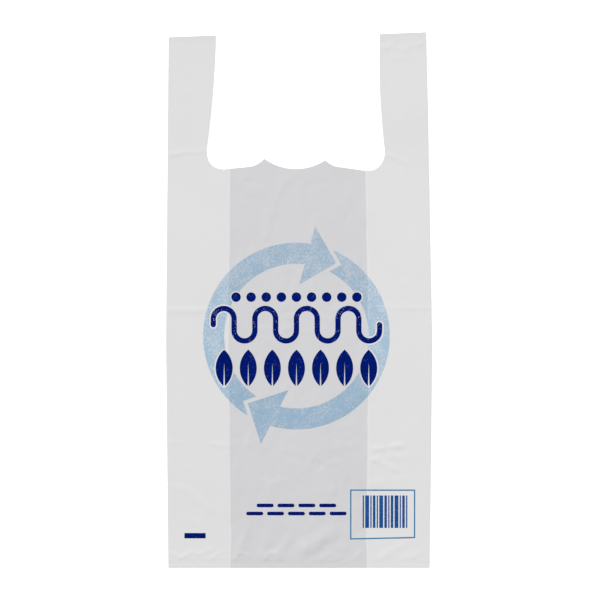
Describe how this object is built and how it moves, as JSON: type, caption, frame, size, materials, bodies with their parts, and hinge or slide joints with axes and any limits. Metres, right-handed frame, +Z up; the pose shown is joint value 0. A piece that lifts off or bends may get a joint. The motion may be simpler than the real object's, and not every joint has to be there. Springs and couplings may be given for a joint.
{
  "type": "carrier bag",
  "caption": "Thin white plastic carrier bag with side gussets and two loop handles, lying flat, printed front up with a ring of two arrows, a wave, dots and leaves.",
  "frame": {"origin": "under the middle of the bag's outline, on the surface that its back lies on", "axes": "+X across the bag to the viewer's right with the handles up, +Y from the bottom seal to the handles, +Z up through the layers, out of the printed front"},
  "size_m": [0.25, 0.5038, 0.0023],
  "materials": {
    "film": "thin white plastic film with a soft sheen, darker where fewer layers lie on each other",
    "ink_blue": "pale blue ink, slightly mottled, that shows the layers through",
    "ink_navy": "dense dark blue ink"
  },
  "bodies": {
    "root": {"bag": "film", "print_arrow_upper": "ink_blue", "print_arrow_lower": "ink_blue", "print_dot_1": "ink_navy", "print_dot_2": "ink_navy", "print_dot_3": "ink_navy", "print_dot_4": "ink_navy", "print_dot_5": "ink_navy", "print_dot_6": "ink_navy", "print_dot_7": "ink_navy", "print_dot_8": "ink_navy", "print_dot_9": "ink_navy", "print_wave": "ink_navy", "print_leaf_1": "ink_navy", "print_leaf_2": "ink_navy", "print_leaf_3": "ink_navy", "print_leaf_4": "ink_navy", "print_leaf_5": "ink_navy", "print_leaf_6": "ink_navy", "print_leaf_7": "ink_navy", "print_dash_1_1": "ink_navy", "print_dash_1_2": "ink_navy", "print_dash_1_3": "ink_navy", "print_dash_1_4": "ink_navy", "print_dash_2_1": "ink_navy", "print_dash_2_2": "ink_navy", "print_dash_2_3": "ink_navy", "print_dash_2_4": "ink_navy", "print_dash_2_5": "ink_navy", "print_panel_frame": "ink_navy", "print_stripe_1": "ink_navy", "print_stripe_2": "ink_navy", "print_stripe_3": "ink_navy", "print_stripe_4": "ink_navy", "print_stripe_5": "ink_navy", "print_stripe_6": "ink_navy", "print_stripe_7": "ink_navy", "print_stripe_8": "ink_navy", "print_stripe_9": "ink_navy", "print_stripe_10": "ink_navy", "print_stripe_11": "ink_navy", "print_stripe_12": "ink_navy", "print_stripe_13": "ink_navy", "print_register_mark": "ink_navy"}
  },
  "joints": []
}
